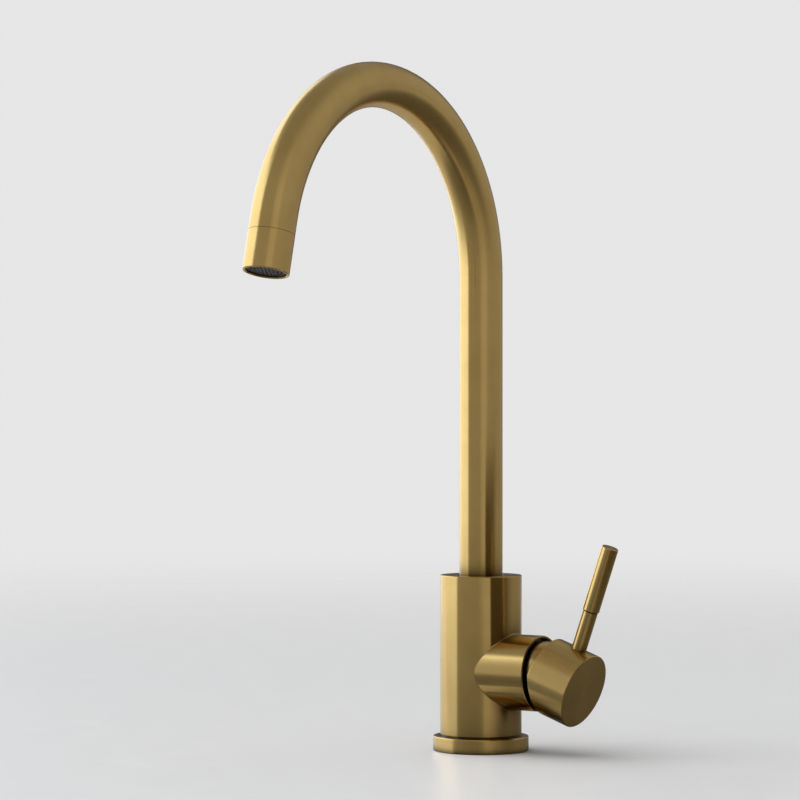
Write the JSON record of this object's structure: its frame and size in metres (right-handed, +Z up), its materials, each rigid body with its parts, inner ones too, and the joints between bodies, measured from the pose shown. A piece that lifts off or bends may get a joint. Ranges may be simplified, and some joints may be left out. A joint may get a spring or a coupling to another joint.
{
  "type": "kitchen mixer tap",
  "caption": "Deck-mounted swan-neck kitchen mixer with a swivelling spout, an aerator in its end, and a side lever that tilts for flow and turns for temperature.",
  "frame": {"origin": "on the column's axis, in the plane of the worktop, which the base ring's underside rests on", "axes": "+Z up along the column, -Y towards the spout's outlet, +X out along the side boss that carries the lever"},
  "size_m": [0.1195, 0.2478, 0.4482],
  "materials": {
    "brushed_gold": "satin PVD, fine brushing round the axis",
    "bare_brass": "machined, uncoated",
    "zinc_steel": "zinc plated",
    "stainless": "fine turned",
    "black_rubber": "matt",
    "ceramic_white": "lapped",
    "acetal": "moulded",
    "grey_plastic": "moulded",
    "ptfe": "moulded"
  },
  "bodies": {
    "tap_body": {"base_ring": "brushed_gold", "base_gasket": "black_rubber", "main_body": "brushed_gold", "shank": "bare_brass", "deck_washer": "black_rubber", "clamp_washer": "zinc_steel", "back_nut": "bare_brass", "clamp_screws": "zinc_steel", "port_seals": "black_rubber", "cartridge_base": "grey_plastic", "disc_seals": "black_rubber", "fixed_disc": "ceramic_white", "cartridge_housing": "acetal", "cartridge_nut": "bare_brass", "dome_ring": "brushed_gold", "spout_lock_screw": "stainless"},
    "spout": {"spout_tube": "brushed_gold", "spout_adapter": "bare_brass", "spout_o_rings": "black_rubber", "spout_slide_rings": "ptfe", "aerator_sleeve": "brushed_gold", "aerator_gasket": "black_rubber", "aerator_insert": "grey_plastic", "aerator_screens": "stainless"},
    "cartridge_rotor": {"cartridge_rotor": "acetal", "pivot_pin": "stainless"},
    "handle": {"lever_stem": "stainless", "handle_cap": "brushed_gold", "lever_pin": "brushed_gold", "lever_grip": "brushed_gold", "handle_grub_screw": "stainless", "screw_plug": "brushed_gold"},
    "moving_disc": {"moving_disc": "ceramic_white", "disc_coupling": "acetal"}
  },
  "joints": [
    {"name": "spout_swivel", "type": "hinge", "parent": "tap_body", "child": "spout", "pos_m": [0, 0, 0.085], "axis": [0, 0, 1], "continuous": true},
    {"name": "temperature_turn", "type": "hinge", "parent": "tap_body", "child": "cartridge_rotor", "pos_m": [0.044, 0, 0.046], "axis": [1, 0, 0], "range_deg": [-50, 50]},
    {"name": "lever_tilt", "type": "hinge", "parent": "cartridge_rotor", "child": "handle", "pos_m": [0.044, 0, 0.046], "axis": [0, 1, 0], "range_deg": [-19.5, 5.5]},
    {"name": "disc_slide", "type": "slide", "parent": "cartridge_rotor", "child": "moving_disc", "axis": [0, 0, 1], "range_m": [-0.00332, 0.00095]}
  ],
  "couplings": [
    {"joint": "disc_slide", "follows": "lever_tilt", "m_per_rad": 0.00972}
  ]
}
